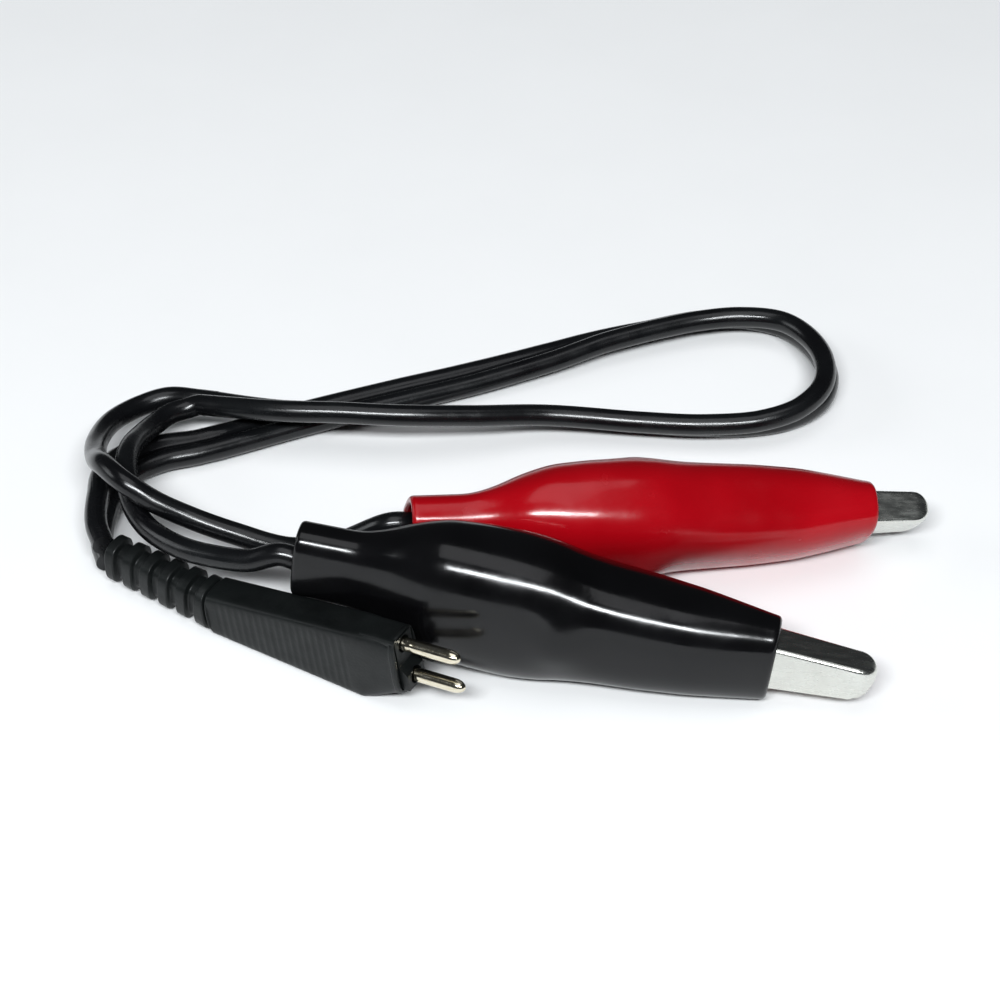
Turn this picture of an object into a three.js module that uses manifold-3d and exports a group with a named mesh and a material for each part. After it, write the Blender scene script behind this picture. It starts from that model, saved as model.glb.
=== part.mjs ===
// Alligator clip lead. A black twin cord has a moulded two-pin plug at one end, and at the other its two
// cores part and run to two sprung alligator clips, one in a red PVC boot and one in a black one.
// Millimetres, +Z up, z = 0 is the table. The origin is under the middle of the two clips.
import * as THREE from "three";
import { mergeVertices } from "three/addons/utils/BufferGeometryUtils.js";
import Module from "manifold-3d";

const wasm = await Module();
wasm.setup();

// ---- Driving dimensions ----

// Clip frame: the origin is on the pivot axis, +X towards the nose, +Z the way the moving jaw opens.
const jawReach = 28.5; // pivot to nose tip
const jawSheet = 0.5; // thickness of the stamped steel
const noseHalfWidth = 1.3;
const movingEarHalf = 2.4; // outside of the moving jaw's ears
const fixedEarHalf = 3.2; // outside of the fixed jaw's ears, which sit outside the moving ones
const earRadius = 2.5;
const movingLeverEnd = -12.5;
const fixedLeverEnd = -16.5;
const leverSheet = 0.6;
const toothPitch = 1.6;
const toothDepth = 0.8;
const teethFrom = 9.2;
const teethTo = 27.2;
const biteGap = 0.12; // between the two rows of teeth when the clip is shut

const rivetRadius = 0.9;
const rivetHeadRadius = 1.7;
const rivetHeadInside = 3.5;
const rivetHeadOutside = 3.9;
const rivetHole = 1.2;

const springWire = 0.4; // wire radius
const springCoil = 1.9; // mean coil radius
const springTurns = 2.5;
const springHalfWidth = 1.1;
const springLegReach = -8.2;
const springLegHeight = 3.45;

const crimpFrom = -13.8;
const crimpOuter = 1.15;
const crimpInner = 0.8;
const crimpHeight = -0.75; // the crimp barrel's axis, below the pivot
const strandRadius = 0.5; // bare conductor

const bootLength = 45;
const bootWall = 0.8;
const bootMouth = { red: 22.8, black: 19.4 }; // each boot's front edge, ahead of the pivot

const coreRadius = 1.1; // one insulated core
const corePitch = 2.3; // between the twin cord's two core centres
const webHalf = 0.68; // half the thickness where they join
const twinFacet = 0.6; // radians between the points of each core's outline

const plugLength = 21;
const plugShoulder = 16.5; // where the body is tallest, before its front bevels
const plugHalfThick = 1.95;
const plugRear = { middle: -0.2, half: 2.3 }; // middle is the section's height against the pins' centre line
const plugWidest = { middle: -1.05, half: 3.8 };
const plugNose = { middle: -0.25, half: 3.15 };
const pinRadius = 0.66;
const pinSpacing = 3.4;
const pinReach = 6; // beyond the plug's face
const pinDepth = 3; // inside it
const carrier = { half: 2.7, thick: 1.35, depth: 3.6, gap: 0.2 };
const keyStep = 0.8; // the carrier stands this far out round the lower pin, so the plug goes in one way up
const reliefLength = 13;
const reliefRibs = 6;
const reliefBend = 1.5; // degrees that the relief swings out of line with the body
const reliefRise = 1.6; // degrees that it rises off the table

// ---- Finishes ----

function finish(color, roughness, metalness) {
  return new THREE.MeshStandardMaterial({ color, roughness, metalness });
}

const redPvc = finish(0xc4000c, 0.22, 0);
const blackPvc = finish(0x0c0c0d, 0.24, 0);
const cordPvc = finish(0x141415, 0.45, 0);
const plugPvc = finish(0x1a1a1b, 0.6, 0);
const carrierPlastic = finish(0x101011, 0.5, 0);
const nickelSteel = finish(0xc9c6bd, 0.28, 1);
const springSteel = finish(0x9a9a98, 0.35, 1);
const tinnedCopper = finish(0xb9a489, 0.4, 1);
const pinNickel = finish(0xd2c8aa, 0.25, 1);

// ---- Solids ----

const cutReach = 12; // half the depth of a cutting solid, well past the clip on both sides

function solidOf(geometry) {
  const bare = geometry.clone();
  bare.deleteAttribute("normal");
  bare.deleteAttribute("uv");
  const merged = mergeVertices(bare, 1e-4);
  const vertProperties = new Float32Array(merged.attributes.position.array);
  const triVerts = new Uint32Array(merged.index.array);
  return new wasm.Manifold(new wasm.Mesh({ numProp: 3, vertProperties, triVerts }));
}

function geometryOf(solid) {
  const { vertProperties, triVerts } = solid.getMesh();
  const geometry = new THREE.BufferGeometry();
  geometry.setAttribute("position", new THREE.BufferAttribute(new Float32Array(vertProperties), 3));
  geometry.setIndex(new THREE.BufferAttribute(new Uint32Array(triVerts), 1));
  geometry.computeVertexNormals();
  return geometry;
}

function piece(name, geometry, material) {
  const mesh = new THREE.Mesh(geometry, material);
  mesh.name = name;
  return mesh;
}

function shapeOf(points) {
  return new THREE.Shape(points.map(([x, y]) => new THREE.Vector2(x, y)));
}

// An outline given as [x, z], made solid from -half to half across Y.
function across(points, half) {
  const geometry = new THREE.ExtrudeGeometry(shapeOf(points), { depth: 2 * half, bevelEnabled: false });
  return solidOf(geometry.translate(0, 0, -half).rotateX(Math.PI / 2));
}

// An outline given as [x, half width], mirrored about the X axis and made solid through Z.
function plate(halfWidths, inset = 0) {
  const thinnest = 0.05;
  const near = halfWidths.map(([x, half]) => [x, Math.max(half - inset, thinnest)]);
  const far = near.map(([x, half]) => [x, -half]).reverse();
  const outline = shapeOf([...near, ...far]);
  const geometry = new THREE.ExtrudeGeometry(outline, { depth: 2 * cutReach, bevelEnabled: false });
  return solidOf(geometry.translate(0, 0, -cutReach));
}

// A cylinder or tube whose axis is parallel to X.
function roundBar(from, to, radius, height, sides = 16) {
  const bar = new THREE.CylinderGeometry(radius, radius, to - from, sides);
  return solidOf(bar.rotateZ(Math.PI / 2).translate((from + to) / 2, 0, height));
}

// A skin over rings of points, all with the same count. A closed run of rings joins its last to its first;
// an open one is capped at both ends.
function skin(rings, closed) {
  const count = rings[0].length;
  const positions = rings.flat().flatMap((p) => [p.x, p.y, p.z]);
  const triangles = [];
  const spans = closed ? rings.length : rings.length - 1;
  for (let r = 0; r < spans; r++) {
    const here = r * count;
    const next = ((r + 1) % rings.length) * count;
    for (let i = 0; i < count; i++) {
      const j = (i + 1) % count;
      triangles.push(here + i, here + j, next + i);
      triangles.push(here + j, next + j, next + i);
    }
  }
  if (!closed) {
    const last = (rings.length - 1) * count;
    for (let i = 1; i < count - 1; i++) {
      triangles.push(0, i + 1, i);
      triangles.push(last, last + i, last + i + 1);
    }
  }
  const geometry = new THREE.BufferGeometry();
  geometry.setAttribute("position", new THREE.Float32BufferAttribute(positions, 3));
  geometry.setIndex(triangles);
  geometry.computeVertexNormals();
  return geometry;
}

// A rounded section across X: power 2 is an ellipse, and a higher power is squarer.
function roundedRing(x, halfY, halfZ, power, sides) {
  const ring = [];
  for (let i = 0; i < sides; i++) {
    const angle = (2 * Math.PI * i) / sides;
    const c = Math.cos(angle);
    const s = Math.sin(angle);
    const y = halfY * Math.sign(c) * Math.abs(c) ** (2 / power);
    const z = halfZ * Math.sign(s) * Math.abs(s) ** (2 / power);
    ring.push(new THREE.Vector3(x, y, z));
  }
  return ring;
}

// ---- Clip ----

// The outer line of a jaw and its lever, as [x, height from the bite line], from the lever's root forward.
const backLine = [
  [-6, 4.8],
  [-3, 4.6],
  [0, 3.9],
  [4, 3.4],
  [10, 2.9],
  [19.6, 2.2],
  [26.6, 1.7],
];
const movingLever = [
  [0, 3.9],
  [-3, 4.6],
  [-6, 4.8],
  [-8, 4.7],
  [-10, 4.2],
  [movingLeverEnd, 3.6],
];
const fixedLever = [
  [0, 3.9],
  [-3, 4.6],
  [-6, 4.8],
  [-8, 4.7],
  [-10, 4.2],
  [-12, 3.5],
  [crimpFrom, 2.8],
  [fixedLeverEnd, 2.3],
];
const nosePlan = [
  [jawReach, 0.45],
  [jawReach - 0.4, 0.95],
  [jawReach - 1.3, noseHalfWidth],
  [19.6, 1.5],
  [15, 1.85],
  [9.6, 2.3],
];
const movingPlan = [
  ...nosePlan,
  [6, movingEarHalf],
  [-4, movingEarHalf],
  [-6, 2.8],
  [-8, 2.6],
  [-10, 2.3],
  [movingLeverEnd, 1.5],
];
const fixedPlan = [
  ...nosePlan,
  [5, fixedEarHalf],
  [-3.5, fixedEarHalf],
  [-6, 2.8],
  [-8, 2.6],
  [-10, 2.3],
  [-12, 1.7],
  [-14, 1.3],
  [fixedLeverEnd, 1],
];

// The toothed edge from the nose back. Both jaws share one zigzag, and each stays half the bite gap off it.
function toothedEdge(side) {
  const edge = [];
  const count = Math.round((2 * (teethTo - teethFrom)) / toothPitch);
  for (let i = 0; i <= count; i++) {
    const peak = (i % 2 ? 1 : -1) * (toothDepth / 2);
    edge.push([teethTo - (i * toothPitch) / 2, biteGap / 2 + side * peak]);
  }
  return edge;
}

// One cheek seen from the side, with height counted away from the bite line.
function cheekOutline(side) {
  const nose = [
    [jawReach - 0.9, 1.5],
    [jawReach - 0.3, 1.05],
    [jawReach, 0.6],
    [jawReach, biteGap / 2],
  ];
  const ear = [];
  for (let i = 0; i <= 12; i++) {
    const angle = 0.1 - ((Math.PI + 0.2) * i) / 12;
    ear.push([earRadius * Math.cos(angle), earRadius * Math.sin(angle)]);
  }
  return [...backLine, ...nose, ...toothedEdge(side), [8.4, 0.3], [3.4, 0.3], ...ear, [-3.8, 2.2], [-6, 4.3]];
}

function sheetAlong(line, thickness) {
  const under = line.map(([x, z]) => [x, z - thickness]).reverse();
  return [...line, ...under];
}

// side is 1 for the moving jaw, above the bite line, and -1 for the fixed one, below it.
function jaw(side, plan, lever) {
  const flip = (points) => points.map(([x, z]) => [x, side * z]);
  const underWeb = backLine.map(([x, z]) => [x, z - jawSheet]);
  const hollow = [[-8, 4.2], ...underWeb, [jawReach - 0.6, 1.0], [jawReach - 0.6, -6], [-8, -6]];
  const outside = across(flip(cheekOutline(side)), cutReach).intersect(plate(plan));
  const inside = across(flip(hollow), cutReach).intersect(plate(plan, jawSheet));
  const grip = across(flip(sheetAlong(lever, leverSheet)), cutReach).intersect(plate(plan));
  const hole = solidOf(new THREE.CylinderGeometry(rivetHole, rivetHole, 2 * cutReach, 20));
  return outside.subtract(inside).add(grip).subtract(hole);
}

// The fixed jaw's lever ends in a barrel that is crimped on the bare wire.
function fixedJaw() {
  const barrel = roundBar(fixedLeverEnd, crimpFrom, crimpOuter, crimpHeight);
  const bore = roundBar(fixedLeverEnd - 1, crimpFrom + 0.6, crimpInner, crimpHeight);
  return jaw(-1, fixedPlan, fixedLever).add(barrel).subtract(bore);
}

function rivet() {
  const profile = [
    [0, -rivetHeadOutside],
    [rivetHeadRadius - 0.3, -rivetHeadOutside],
    [rivetHeadRadius, -rivetHeadInside],
    [rivetRadius, -rivetHeadInside],
    [rivetRadius, rivetHeadInside],
    [rivetHeadRadius, rivetHeadInside],
    [rivetHeadRadius - 0.3, rivetHeadOutside],
    [0, rivetHeadOutside],
  ];
  return new THREE.LatheGeometry(
    profile.map(([r, y]) => new THREE.Vector2(r, y)),
    20,
  );
}

// A round wire or cord along a smooth route.
function roundTube(points, radius, steps, sides) {
  const route = new THREE.CatmullRomCurve3(points.map((p) => new THREE.Vector3(...p)), false, "centripetal");
  const section = [];
  for (let i = 0; i < sides; i++) {
    const angle = (2 * Math.PI * (i + 0.5)) / sides;
    section.push([radius * Math.cos(angle), radius * Math.sin(angle)]);
  }
  return new THREE.ExtrudeGeometry(shapeOf(section), { steps, extrudePath: route, bevelEnabled: false });
}

// The torsion spring is wound round the rivet, and its two legs push the levers apart.
function torsionSpring() {
  const points = [
    [springLegReach, -springHalfWidth, springLegHeight],
    [-4.5, -springHalfWidth, 2.8],
  ];
  const turnSteps = springTurns * 10;
  for (let i = 0; i <= turnSteps; i++) {
    const angle = Math.PI / 2 - (2 * Math.PI * springTurns * i) / turnSteps;
    const y = -springHalfWidth + (2 * springHalfWidth * i) / turnSteps;
    points.push([springCoil * Math.cos(angle), y, springCoil * Math.sin(angle)]);
  }
  points.push([-4.5, springHalfWidth, -2.8], [springLegReach, springHalfWidth, -springLegHeight]);
  return roundTube(points, springWire, 64, 6);
}

// Boot sections from the tail forward: [share of the length, half width, half height, squareness].
const bootSections = [
  [0, 2.3, 3.8, 2.6],
  [0.13, 2.35, 3.9, 2.6],
  [0.18, 2.95, 4.7, 2.5],
  [0.24, 4.1, 6.0, 2.4],
  [0.3, 4.9, 6.8, 2.4],
  [0.38, 5.2, 7, 2.5],
  [0.47, 5.3, 7, 2.6],
  [0.53, 5.15, 6.7, 2.6],
  [0.58, 4.95, 6.1, 2.6],
  [0.64, 4.8, 5.6, 2.7],
  [0.74, 4.6, 5.25, 2.7],
  [0.84, 4.2, 4.9, 2.6],
  [0.92, 3.5, 4.6, 2.5],
  [1, 2.65, 4.2, 2.6],
];

// A flexible sleeve, open at the tail for the wire and at the mouth for the jaws.
function boot(mouth) {
  const sides = 24;
  const ringsInset = (inset) =>
    bootSections.map(([share, halfY, halfZ, power]) =>
      roundedRing(mouth - (1 - share) * bootLength, halfY - inset, halfZ - inset, power, sides),
    );
  return geometryOf(solidOf(skin([...ringsInset(0), ...ringsInset(bootWall).reverse()], true)));
}

// colour names the clip, and at places its pivot: position, heading, dip and roll in degrees.
function clip(colour, rubber, at) {
  const group = new THREE.Group();
  const strand = roundBar(fixedLeverEnd - 0.1, crimpFrom + 0.3, strandRadius, crimpHeight, 12);
  group.add(
    piece(`${colour}_fixed_jaw`, geometryOf(fixedJaw()), nickelSteel),
    piece(`${colour}_moving_jaw`, geometryOf(jaw(1, movingPlan, movingLever)), nickelSteel),
    piece(`${colour}_pivot_rivet`, rivet(), nickelSteel),
    piece(`${colour}_torsion_spring`, torsionSpring(), springSteel),
    piece(`${colour}_bare_conductor`, geometryOf(strand), tinnedCopper),
    piece(`${colour}_boot`, boot(bootMouth[colour]), rubber),
  );
  group.position.set(...at.pivot);
  const turn = (degrees) => THREE.MathUtils.degToRad(degrees);
  group.rotation.set(turn(at.roll), turn(at.dip), turn(at.heading), "ZYX");
  return group;
}

// ---- Plug ----

// Plug frame: +X runs along the pins' centre line from the body's rear, and +Z is its tall way. The body
// lies on its long bottom edge, so the wedge tips the pins up a little.
const bottomOf = (section) => section.middle - section.half;
const plugTip = Math.atan((bottomOf(plugRear) - bottomOf(plugWidest)) / plugShoulder);

function plugSection(x, section, halfThick, power) {
  const ring = roundedRing(x, halfThick, section.half, power, 20);
  return ring.map((point) => point.setZ(point.z + section.middle));
}

// Ribs and grooves that let the cord bend gradually where it leaves the plug.
function strainRelief() {
  const sides = 16;
  const pitch = reliefLength / reliefRibs;
  const rings = [roundedRing(1, 1.6, 1.8, 3, sides)];
  for (let i = 0; i < reliefRibs; i++) {
    const start = -i * pitch - 0.5;
    const share = i / reliefRibs;
    const halfY = 2.1 - 0.45 * share;
    const halfZ = 2.3 - 0.1 * share;
    rings.push(roundedRing(start + 0.02 * pitch, halfY - 0.5, halfZ - 0.45, 3, sides));
    rings.push(roundedRing(start, halfY, halfZ, 3, sides));
    rings.push(roundedRing(start - 0.56 * pitch, halfY, halfZ, 3, sides));
    rings.push(roundedRing(start - 0.58 * pitch, halfY - 0.5, halfZ - 0.45, 3, sides));
  }
  const geometry = skin(rings.reverse(), false);
  geometry.rotateY(plugTip + THREE.MathUtils.degToRad(reliefRise));
  geometry.rotateZ(THREE.MathUtils.degToRad(-reliefBend));
  return solidOf(geometry.translate(0, 0, plugRear.middle));
}

// The soft moulding: a wedge-shaped body with bevelled front edges, and the strain relief in one with it.
function plugOvermould() {
  const body = solidOf(
    skin(
      [
        plugSection(0, plugRear, plugHalfThick, 5),
        plugSection(plugShoulder, plugWidest, plugHalfThick, 6),
        plugSection(plugLength, plugNose, plugHalfThick - 0.1, 6),
      ],
      false,
    ),
  );
  const pocketSize = [carrier.depth + carrier.gap, carrier.thick + carrier.gap, carrier.half + carrier.gap];
  const pocket = new THREE.BoxGeometry(...pocketSize.map((half) => 2 * half));
  return geometryOf(body.add(strainRelief()).subtract(solidOf(pocket.translate(plugLength, 0, 0))));
}

// The hard block that holds the pins, seated in a pocket of the soft body.
function pinCarrier() {
  const block = new THREE.BoxGeometry(carrier.depth, 2 * carrier.thick, 2 * carrier.half);
  let solid = solidOf(block.translate(plugLength - carrier.depth / 2, 0, 0));
  const key = [
    [plugLength - 1, -0.2],
    [plugLength, -0.2],
    [plugLength + keyStep, -0.2 - keyStep],
    [plugLength + keyStep, -carrier.half],
    [plugLength - 1, -carrier.half],
  ];
  solid = solid.add(across(key, carrier.thick));
  const holeRadius = pinRadius + carrier.gap;
  for (const z of [-pinSpacing / 2, pinSpacing / 2]) {
    solid = solid.subtract(roundBar(plugLength - carrier.depth - 1, plugLength + 2, holeRadius, z));
  }
  return geometryOf(solid);
}

function plugPin(height) {
  const length = pinDepth + pinReach;
  const profile = [
    [0, 0],
    [pinRadius, 0],
    [pinRadius, length - 1],
    [pinRadius * 0.8, length - 0.45],
    [pinRadius * 0.45, length - 0.1],
    [0, length],
  ];
  const points = profile.map(([r, y]) => new THREE.Vector2(r, y));
  const pin = new THREE.LatheGeometry(points, 16).rotateZ(-Math.PI / 2);
  return pin.translate(plugLength - pinDepth, 0, height);
}

function plug(at) {
  const group = new THREE.Group();
  group.add(
    piece("plug_overmould", plugOvermould(), plugPvc),
    piece("plug_pin_carrier", pinCarrier(), carrierPlastic),
    piece("plug_pin_upper", plugPin(pinSpacing / 2), pinNickel),
    piece("plug_pin_lower", plugPin(-pinSpacing / 2), pinNickel),
  );
  group.position.set(...at.rear);
  group.rotation.set(0, -plugTip, THREE.MathUtils.degToRad(at.heading), "ZYX");
  return group;
}

// ---- Cord ----

// The twin cord's route from the plug to the split: [x, y, z, lean]. lean is how far the cord's flat side is
// tipped up from lying flat, in degrees.
const twinRoute = [
  [-49.05, 6.25, 2.5, 86],
  [-50.0, 9.2, 2.6, 82],
  [-50.1, 13.7, 2.6, 70],
  [-49.7, 17.4, 2.3, 45],
  [-48.2, 20.4, 1.9, 22],
  [-45.4, 22.4, 1.6, 6],
  [-41.5, 23.7, 1.4, -4],
  [-31.6, 28.0, 1.4, -4],
  [-21.4, 32.0, 1.4, -4],
  [-13.9, 34.8, 1.4, -6],
  [-5.8, 38.1, 1.6, -16],
  [-0.4, 40.5, 1.8, -30],
  [5.0, 42.4, 1.9, -38],
  [10.4, 44.0, 2.0, -38],
  [15.3, 44.3, 2.1, -42],
  [19.4, 42.9, 2.2, -54],
  [22.0, 39.5, 2.3, -65],
  [23.1, 35.0, 2.4, -75],
  [22.1, 30.8, 2.4, -95],
  [19.1, 27.8, 2.3, -118],
  [15.1, 26.5, 2.1, -130],
  [9.4, 26.3, 2.0, -137],
  [3.3, 26.8, 2.0, -139],
  [-6.0, 27.2, 2.6, -141],
  [-13.8, 25.6, 3.8, -140],
  [-21.1, 24.5, 4.8, -140],
  [-27.2, 24.7, 5.0, -140],
  [-33.4, 25.4, 4.7, -142],
  [-37.5, 26.6, 4.2, -147],
  [-41.2, 28.0, 3.6, -154],
];

// From the split to each boot's tail. The red clip's core passes over the black clip's.
const redLeadRoute = [
  [-42.1, 29.3, 3.9],
  [-44.9, 28.9, 3.6],
  [-47.8, 27.6, 3.5],
  [-50.2, 24.6, 4.0],
  [-51.1, 19.8, 5.3],
  [-50.5, 15.3, 7.0],
  [-49.1, 11.7, 9.0],
  [-47.0, 9.2, 9.1],
  [-44.2, 8.1, 7.6],
  [-40.7, 7.5, 6.0],
  [-36.5, 6.4, 5.0],
  [-31.1, 4.8, 4.5],
  [-26.7, 4.2, 5.6],
];
const blackLeadRoute = [
  [-42.8, 26.9, 3.6],
  [-44.4, 26.3, 3.7],
  [-45.8, 24.2, 4.0],
  [-46.8, 21.4, 4.9],
  [-47.5, 17.9, 6.2],
  [-47.6, 15.3, 6.7],
  [-47.3, 12.7, 6.6],
  [-46.4, 9.4, 5.9],
  [-44.4, 5.7, 6.1],
  [-41.2, 2.5, 6.7],
  [-38.0, 0.6, 7.3],
  [-34.3, -0.9, 8.1],
];

// A cord whose section keeps the lean that each point of its route states.
class LeaningRoute extends THREE.CatmullRomCurve3 {
  constructor(points) {
    super(points.map(([x, y, z]) => new THREE.Vector3(x, y, z)), false, "centripetal");
    this.leans = points.map((point) => THREE.MathUtils.degToRad(point[3]));
  }

  leanAt(u) {
    const place = this.getUtoTmapping(u) * (this.leans.length - 1);
    const index = Math.min(Math.floor(place), this.leans.length - 2);
    return THREE.MathUtils.lerp(this.leans[index], this.leans[index + 1], place - index);
  }

  computeFrenetFrames(segments) {
    const up = new THREE.Vector3(0, 0, 1);
    const tangents = [];
    const normals = [];
    const binormals = [];
    for (let i = 0; i <= segments; i++) {
      const tangent = this.getTangentAt(i / segments);
      const aside = new THREE.Vector3().crossVectors(up, tangent).normalize();
      const lean = this.leanAt(i / segments);
      tangents.push(tangent);
      normals.push(aside.clone().applyAxisAngle(tangent, lean));
      binormals.push(new THREE.Vector3().crossVectors(tangent, normals[i]));
    }
    return { tangents, normals, binormals };
  }
}

// Two round cores side by side, joined by a thin web.
function twinSection() {
  const section = [];
  for (const side of [1, -1]) {
    for (let i = -2; i <= 2; i++) {
      const angle = i * twinFacet;
      const reach = corePitch / 2 + coreRadius * Math.cos(angle);
      section.push([side * reach, side * coreRadius * Math.sin(angle)]);
    }
    section.push([0, side * webHalf]);
  }
  return shapeOf(section);
}

function twinCord() {
  const route = new LeaningRoute(twinRoute);
  return new THREE.ExtrudeGeometry(twinSection(), { steps: 52, extrudePath: route, bevelEnabled: false });
}

// ---- Assembly ----

const clipPlaces = {
  black: { pivot: [-4.9, -6.5, 6.5], heading: -11.2, dip: 5.9, roll: -3 },
  red: { pivot: [2.1, 6.6, 6.8], heading: 8.6, dip: 5.8, roll: 34 },
};
const plugPlace = { rear: [-37.5, -0.8, 2.55], heading: -30 };

// A lead's route carries on through the boot's tail to the crimp, along the clip's own axis.
function leadIntoClip(route, clipGroup, colour) {
  clipGroup.updateMatrixWorld(true);
  const tail = bootMouth[colour] - bootLength;
  const inside = [
    [tail - 1.5, 0, -0.1],
    [tail + 1.2, 0, -0.5],
    [fixedLeverEnd - 0.5, 0, crimpHeight],
  ];
  const carriedOn = inside.map((p) => clipGroup.localToWorld(new THREE.Vector3(...p)).toArray());
  return roundTube([...route, ...carriedOn], coreRadius, 26, 8);
}

const redClip = clip("red", redPvc, clipPlaces.red);
const blackClip = clip("black", blackPvc, clipPlaces.black);

const lead = new THREE.Group();
lead.add(
  redClip,
  blackClip,
  plug(plugPlace),
  piece("twin_cord", twinCord(), cordPvc),
  piece("red_clip_lead", leadIntoClip(redLeadRoute, redClip, "red"), cordPvc),
  piece("black_clip_lead", leadIntoClip(blackLeadRoute, blackClip, "black"), cordPvc),
);

export default lead;
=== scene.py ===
# Alligator clip lead: a short twin cord with a moulded two-pin plug, split to a red and a black clip.
# Metres, +Z up, the table is at z = 0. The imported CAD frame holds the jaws, rivets, bare wires and the
# plug's pin carrier. The cords, boots, springs, plug body and pins are drawn here in place of their nodes,
# and so is a smooth plate over each moving jaw's nose, which has no node of its own.
import math
import bpy
import numpy as np
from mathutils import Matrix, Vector


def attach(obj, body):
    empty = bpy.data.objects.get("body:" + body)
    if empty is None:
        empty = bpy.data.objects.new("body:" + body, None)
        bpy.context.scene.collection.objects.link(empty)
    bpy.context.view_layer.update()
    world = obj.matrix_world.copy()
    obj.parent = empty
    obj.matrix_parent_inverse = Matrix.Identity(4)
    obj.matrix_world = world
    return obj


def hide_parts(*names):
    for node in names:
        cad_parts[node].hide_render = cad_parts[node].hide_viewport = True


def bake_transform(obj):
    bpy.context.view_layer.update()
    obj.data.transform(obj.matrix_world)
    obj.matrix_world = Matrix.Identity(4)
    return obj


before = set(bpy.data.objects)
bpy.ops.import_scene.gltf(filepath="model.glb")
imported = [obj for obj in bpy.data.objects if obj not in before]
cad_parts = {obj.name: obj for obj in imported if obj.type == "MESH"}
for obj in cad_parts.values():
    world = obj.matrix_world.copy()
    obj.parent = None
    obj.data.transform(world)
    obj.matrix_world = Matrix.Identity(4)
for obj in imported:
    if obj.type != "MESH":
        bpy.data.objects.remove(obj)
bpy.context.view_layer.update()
mm = 0.001
foldAngle = 50.0  # degrees


def gridMesh(name, grid, closedAlong=False, uv=None):
    # a skin over rings of points, grid[ring, around, xyz]: each ring is closed and joins the next.
    # When the run of rings isn't closed on itself, a fan to the end ring's middle closes each end.
    rings, around = grid.shape[:2]
    points = grid.reshape(-1, 3)
    here = np.arange(rings * around).reshape(rings, around)
    nextRing = np.roll(here, -1, axis=0) if closedAlong else here[1:]
    thisRing = here if closedAlong else here[:-1]
    thisTurned, nextTurned = np.roll(thisRing, -1, axis=1), np.roll(nextRing, -1, axis=1)
    quads = np.stack([thisRing, thisTurned, nextTurned, nextRing], axis=-1)
    faces = quads.reshape(-1, 4).tolist()
    if not closedAlong:
        points = np.vstack([points, grid[0].mean(axis=0), grid[-1].mean(axis=0)])
        first, last = here[0], here[-1]
        startFan = np.stack([np.full(around, rings * around), np.roll(first, -1), first], axis=-1)
        endFan = np.stack([np.full(around, rings * around + 1), last, np.roll(last, -1)], axis=-1)
        faces += startFan.tolist() + endFan.tolist()
    mesh = bpy.data.meshes.new(name)
    mesh.from_pydata(points, [], faces)
    mesh.polygons.foreach_set("use_smooth", np.ones(len(mesh.polygons), bool))
    if uv is not None:
        # uv[ring, around] in millimetres, for patterns that run along the piece
        flat = uv.reshape(-1, 2)
        if not closedAlong:
            flat = np.vstack([flat, uv[0].mean(axis=0), uv[-1].mean(axis=0)])
        corner = np.empty(len(mesh.loops), np.int32)
        mesh.loops.foreach_get("vertex_index", corner)
        layer = mesh.uv_layers.new(name="along")
        layer.data.foreach_set("uv", flat[corner].astype(np.float32).ravel())
    return linked(name, mesh)


def linked(name, mesh):
    # edges where the faces turn by more than a fold's angle are drawn sharp
    mesh.update()
    mesh.set_sharp_from_angle(angle=math.radians(foldAngle))
    piece = bpy.data.objects.new(name, mesh)
    bpy.context.scene.collection.objects.link(piece)
    return piece


def sheetMesh(name, outer, inner):
    # a folded sheet between two faces, outer and inner, each [station, across, xyz]; a strip closes every
    # edge. The sign of the volume under the faces, a . (b x c) + a . (c x d), says which way they face.
    stations, across = outer.shape[:2]
    top = np.arange(stations * across).reshape(stations, across)
    under = top + stations * across
    skin = np.stack([top[:-1, :-1], top[:-1, 1:], top[1:, 1:], top[1:, :-1]], axis=-1).reshape(-1, 4)
    rim = np.concatenate([top[0, :-1], top[:-1, -1], top[-1, :0:-1], top[:0:-1, 0]])
    nextRim = np.roll(rim, -1)
    edge = np.stack([rim, rim + stations * across, nextRim + stations * across, nextRim], axis=-1)
    faces = np.vstack([skin, skin[:, ::-1] + under[0, 0], edge])
    points = np.vstack([outer.reshape(-1, 3), inner.reshape(-1, 3)])
    a, b, c, d = (points[faces[:, k]] for k in range(4))
    volume = np.sum(a * np.cross(b, c)) + np.sum(a * np.cross(c, d))
    mesh = bpy.data.meshes.new(name)
    mesh.from_pydata(points, [], (faces if volume > 0 else faces[:, ::-1]).tolist())
    mesh.polygons.foreach_set("use_smooth", np.ones(len(mesh.polygons), bool))
    return linked(name, mesh)


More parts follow.
